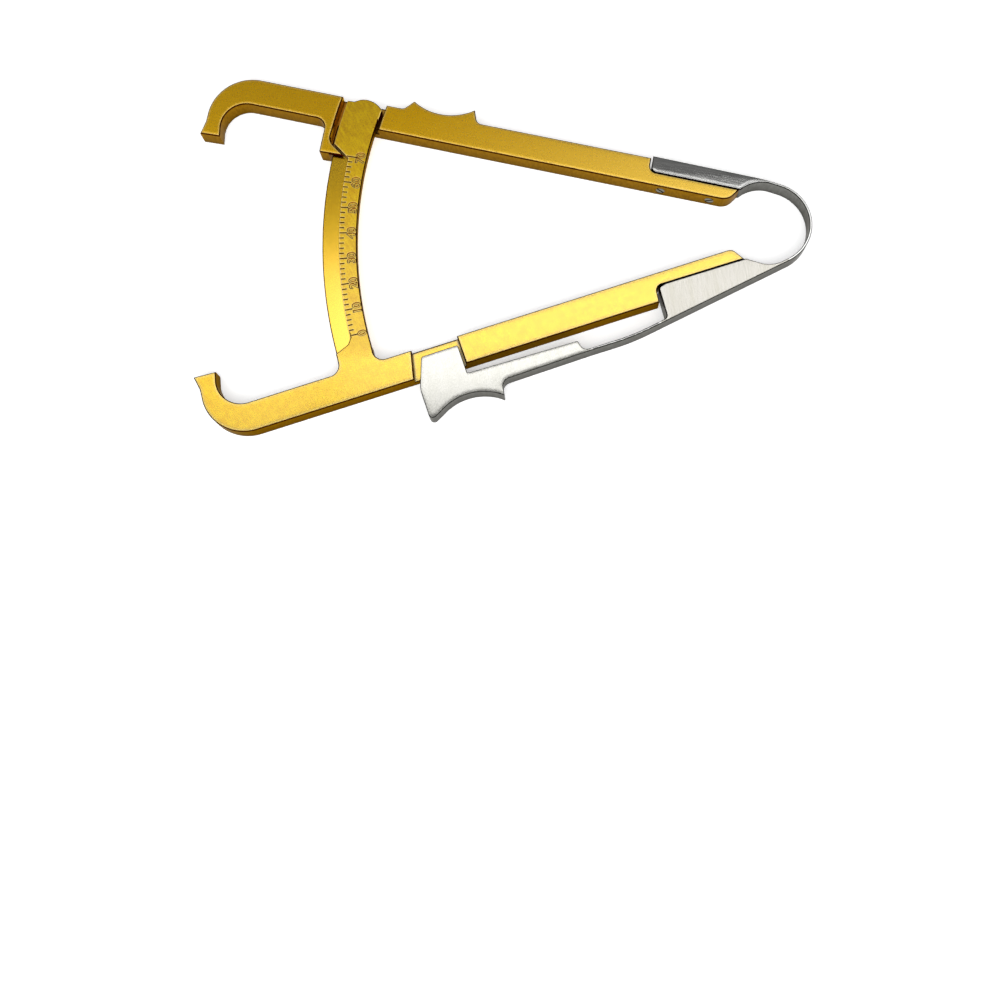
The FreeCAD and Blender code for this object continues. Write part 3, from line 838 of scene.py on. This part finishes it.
with all_selected(lower_arm):
    bpy.ops.mesh.quads_convert_to_tris(quad_method="BEAUTY", ngon_method="BEAUTY")
engrave(lower_arm, cutters, False)
engrave(lower_arm, numbers, True)
with all_selected(lower_arm):
    bpy.ops.mesh.remove_doubles(threshold=SLIVER)
with all_selected(lower_arm):
    bpy.ops.mesh.dissolve_degenerate(threshold=SLIVER)
with all_selected(lower_arm):
    bpy.ops.mesh.dissolve_limited(angle_limit=radians(0.2), delimit={"MATERIAL"})
floors = 0
for polygon in lower_arm.data.polygons:
    if polygon.normal.z > 0.95 and FACE - 0.23 * MM < polygon.center.z < FACE - 0.05 * MM:
        polygon.material_index = ON_FACE
        floors += 1
print("number floors:", floors, "lower arm faces:", len(lower_arm.data.polygons),
      "finishes:", [m.name for m in lower_arm.data.materials])
smooth(lower_arm)
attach(lower_arm, "lower_frame")
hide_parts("lower_arm")

# %% [markdown]
# ## The spring
# The real spring is one piece of steel from the upper tang to the end of the pressure lever. The
# solids are split where it bends, so their shared ends are opened and the copies welded into one
# skin before its edges are broken.

# %% Weld the solids
def corners(piece):
    """Places of a piece's corners, rounded to a thousandth of a millimetre."""
    return {tuple(round(c / MM, 3) for c in vertex.co) for vertex in piece.data.vertices}


def open_shared_ends(piece, others):
    """Deletes the faces whose corners are all corners of one neighbour."""
    neighbours = [corners(other) for other in others]
    only(piece)
    bpy.ops.object.mode_set(mode="EDIT")
    bpy.ops.mesh.select_mode(type="FACE")
    bpy.ops.mesh.select_all(action="DESELECT")
    mesh = bmesh.from_edit_mesh(piece.data)
    ends = []
    for face in mesh.faces:
        around = [tuple(round(c / MM, 3) for c in vertex.co) for vertex in face.verts]
        if any(all(place in near for place in around) for near in neighbours):
            face.select_set(True)
            ends.append(face)
    bmesh.update_edit_mesh(piece.data)
    print(piece.name, "shared ends opened:", len(ends))
    bpy.ops.mesh.delete(type="FACE")
    bpy.ops.object.mode_set(mode="OBJECT")


parts = {source: stock(source, "steel_" + source) for source in
         ("upper_spring_tang", "spring_loop", "lower_spring_tang", "lever_beam", "pressure_lever")}
FACES = {"upper_spring_tang": upper_steel, "spring_loop": thin_steel, "lower_spring_tang": tang_steel,
         "lever_beam": thin_steel, "pressure_lever": lever_steel}
for source, part in parts.items():
    finishes(part, FACES[source], band_steel, dark_steel, seam_shadow_paint)
for source, part in parts.items():
    open_shared_ends(part, [other for name, other in parts.items() if name != source])

# %% Join and break the edges
SPRING_EDGE = 0.2     # mm, width of the broken edges of the spring
bpy.ops.object.select_all(action="DESELECT")
for part in parts.values():
    part.select_set(True)
bpy.context.view_layer.objects.active = parts["spring_loop"]
bpy.ops.object.join()
spring = bpy.context.active_object
spring.name = "steel_spring"
with all_selected(spring):
    bpy.ops.mesh.remove_doubles(threshold=WELD)
rounder(spring)
names = [m.name for m in spring.data.materials]
broken_edges(spring, SPRING_EDGE, names.index(dark_steel.name))
darken_seams(spring, names.index(dark_steel.name), names.index(seam_shadow_paint.name))
print("spring finishes:", names)

# %% [markdown]
# The skin is then cut once, just past the root of the lever's thin beam, because the loop bends with
# the arms and the beam bends with the lever. The beam gets a few more divisions along its length.

# %% Cut at the beam's root
PIECES_OF_BEAM = 9


def cut_off(piece, place, along, **kept):
    """Cuts a piece across at a place, or only divides it there."""
    with all_selected(piece):
        bpy.ops.mesh.bisect(plane_co=place, plane_no=along, **kept)


root, tip = (Vector((*closed_place(x, y, -1), MID_HEIGHT)) for x, y in ((-41.6, -18.1), (-59.0, -20.1)))
along = (tip - root).normalized()
lever = bpy.data.objects.new("steel_pressure_lever", spring.data.copy())
bpy.context.scene.collection.objects.link(lever)
cut_off(spring, root, along, use_fill=True, clear_outer=True)
cut_off(lever, root, along, use_fill=True, clear_inner=True)
for part in range(1, PIECES_OF_BEAM):
    cut_off(lever, root.lerp(tip, part / PIECES_OF_BEAM), along)
for piece in (spring, lever):
    smooth(piece)
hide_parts("upper_spring_tang", "spring_loop", "lower_spring_tang")
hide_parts("lever_beam", "pressure_lever")
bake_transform(spring)
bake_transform(lever)
print("spring and lever corners:", len(spring.data.vertices), len(lever.data.vertices))

# %% [markdown]
# ## Screws
# Two slotted countersunk screws hold each tang. They are turned from bar, and below the heads' face,
# in their slots, they are painted almost black: painted shade. The CAD screws already have their
# slots, so they stay, with a better finish.

# %% Screws
def screw_steel(name, screws, angle):
    """Turned steel that is painted almost black below the heads' face, as shade in the slots; the shanks
    point at an angle from X.
    """
    made, tree, shader = metal_of(name, 0.28)
    axis = Vector((cos(angle), sin(angle), 0))
    face = min(vertex.co.dot(axis) for vertex in screws.data.vertices)
    place = node(tree, "ShaderNodeTexCoord").outputs["Object"]
    depth = node(tree, "ShaderNodeVectorMath", {0: place, 1: axis}, operation="DOT_PRODUCT")
    slot_shade = node(tree, "ShaderNodeMapRange", {"Value": depth.outputs["Value"], "From Min": face + 0.05 * MM,
                                             "From Max": face + 0.25 * MM})
    rings = node(tree, "ShaderNodeTexNoise", {"Vector": place, "Scale": 1 / (0.25 * MM), "Detail": 3.0})
    bright = node(tree, "ShaderNodeMix", {0: rings.outputs[0], 6: linear("#6E6C64"), 7: linear("#A4A29A")},
                  data_type="RGBA")
    tint = node(tree, "ShaderNodeMix", {0: slot_shade.outputs[0], 6: bright.outputs[2], 7: linear("#0A0806")},
                data_type="RGBA")
    tree.links.new(tint.outputs[2], shader.inputs["Base Color"])
    tree.links.new(tint.outputs[2], shader.inputs["Specular Tint"])
    return made


for source, angle in (("upper_arm_screws", pi / 2 + UPPER_LEAN), ("lower_arm_screws", LOWER_LEAN - pi / 2)):
    screws = frame["nodes"][source]
    finish = screw_steel("turned_" + source, screws, angle)
    screws.data.materials.clear()
    screws.data.materials.append(finish)
    print(source, "finish:", finish.name)

# %% [markdown]
# ## Size
# The finish must not change the caliper's size, so the box of the dressed model is printed beside
# the box of the solids.

# %% Print the boxes
import json

boxes = {"cad": [list(corner) for corner in cad_box], "visual": [list(corner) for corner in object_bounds()]}
for name, box in boxes.items():
    print(name, "box, mm:", [[round(v / MM, 2) for v in corner] for corner in box])
